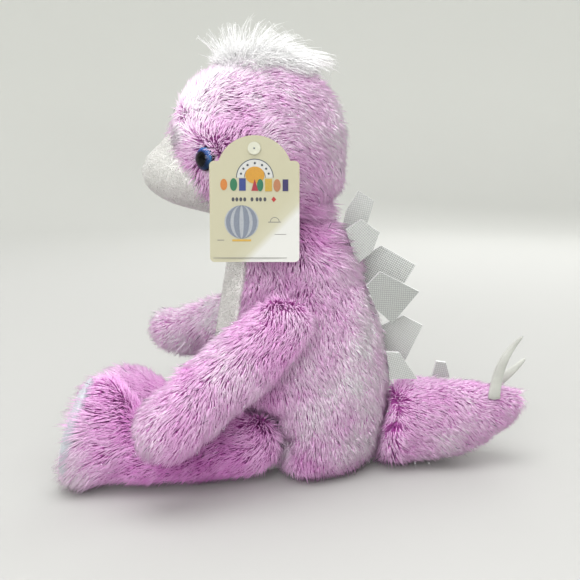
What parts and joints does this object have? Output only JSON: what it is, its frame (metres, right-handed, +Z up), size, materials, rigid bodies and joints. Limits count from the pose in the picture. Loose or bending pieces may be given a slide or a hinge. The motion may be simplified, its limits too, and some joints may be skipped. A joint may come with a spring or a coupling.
{
  "type": "stuffed dinosaur",
  "caption": "Seated stuffed plush dinosaur with swinging arms and legs, turning and nodding head, wagging tail, fabric back plates and a hanging card tag.",
  "frame": {"origin": "centre of the bounding box's base, on the floor under the seated toy", "axes": "+Z up; the toy faces -Y, its tail points to +Y, its left side is +X"},
  "size_m": [0.243, 0.3313, 0.3187],
  "materials": {
    "fur_lilac": "long lilac pile with pale tips",
    "fur_white": "short and long white pile",
    "silver_cloth": "silver-grey metallic woven cloth with white edges",
    "foot_cloth": "smooth silver-white cloth",
    "stuffing": "polyester fibre filling",
    "thread": "sewing thread",
    "eye_plastic": "blue iris, black pupil, glossy",
    "washer_plastic": "white locking washer",
    "tag_card": null,
    "tag_clear": "clear plastic fastener"
  },
  "bodies": {
    "torso": {"torso_fur_left": "fur_lilac", "torso_fur_right": "fur_lilac", "belly_panel": "fur_white", "seat_panel": "fur_lilac", "torso_stuffing": "stuffing", "plate_1": "silver_cloth", "plate_2": "silver_cloth", "plate_3": "silver_cloth", "plate_4": "silver_cloth", "plate_5": "silver_cloth", "plate_6": "silver_cloth"},
    "neck": {"neck_seam": "thread"},
    "head": {"head_fur_left": "fur_lilac", "head_fur_right": "fur_lilac", "muzzle_cover": "fur_white", "head_stuffing": "stuffing", "eye_left": "eye_plastic", "eye_right": "eye_plastic", "eye_washer_left": "washer_plastic", "eye_washer_right": "washer_plastic", "hair_tuft": "fur_white", "tag_fastener": "tag_clear"},
    "hang_tag": {"tag_front": "tag_card", "tag_back": "tag_card"},
    "arm_left": {"arm_left_outer": "fur_lilac", "arm_left_inner": "fur_lilac", "arm_left_stuffing": "stuffing"},
    "arm_right": {"arm_right_outer": "fur_lilac", "arm_right_inner": "fur_lilac", "arm_right_stuffing": "stuffing"},
    "leg_left": {"leg_left_outer": "fur_lilac", "leg_left_inner": "fur_lilac", "foot_pad_left": "foot_cloth", "leg_left_stuffing": "stuffing"},
    "leg_right": {"leg_right_outer": "fur_lilac", "leg_right_inner": "fur_lilac", "foot_pad_right": "foot_cloth", "leg_right_stuffing": "stuffing"},
    "tail": {"tail_fur_left": "fur_lilac", "tail_fur_right": "fur_lilac", "tail_stuffing": "stuffing", "tail_plate": "silver_cloth", "spike_left": "silver_cloth", "spike_right": "silver_cloth"}
  },
  "joints": [
    {"name": "neck_turn", "type": "hinge", "parent": "torso", "child": "neck", "pos_m": [0, -0.015, 0.148], "axis": [0, 0, 1], "range_deg": [-20, 20], "stiffness_Nm_per_rad": 0.6},
    {"name": "head_nod", "type": "hinge", "parent": "neck", "child": "head", "pos_m": [0, -0.015, 0.148], "axis": [1, 0, 0], "range_deg": [-3, 10], "stiffness_Nm_per_rad": 2.5},
    {"name": "tag_swing", "type": "hinge", "parent": "head", "child": "hang_tag", "pos_m": [0.066, -0.034, 0.2305], "axis": [1, 0, 0], "range_deg": [-25, 25]},
    {"name": "arm_left_swing", "type": "hinge", "parent": "torso", "child": "arm_left", "pos_m": [0.04824, -0.015, 0.116], "axis": [-0.9929, 0, -0.1191], "range_deg": [0, 32], "stiffness_Nm_per_rad": 0.25},
    {"name": "arm_right_swing", "type": "hinge", "parent": "torso", "child": "arm_right", "pos_m": [-0.04824, -0.015, 0.116], "axis": [-0.9929, 0, 0.1191], "range_deg": [0, 40], "stiffness_Nm_per_rad": 0.25},
    {"name": "leg_left_swing", "type": "hinge", "parent": "torso", "child": "leg_left", "pos_m": [0.04, -0.04, 0.027], "axis": [0.9889, 0.1483, 0], "range_deg": [0, 60], "stiffness_Nm_per_rad": 0.4},
    {"name": "leg_right_swing", "type": "hinge", "parent": "torso", "child": "leg_right", "pos_m": [-0.04, -0.04, 0.027], "axis": [1, 0, 0], "range_deg": [0, 60], "stiffness_Nm_per_rad": 0.4},
    {"name": "tail_wag", "type": "hinge", "parent": "torso", "child": "tail", "pos_m": [0, 0.008, 0.032], "axis": [0, 0, 1], "range_deg": [-12, 12], "stiffness_Nm_per_rad": 0.25}
  ]
}
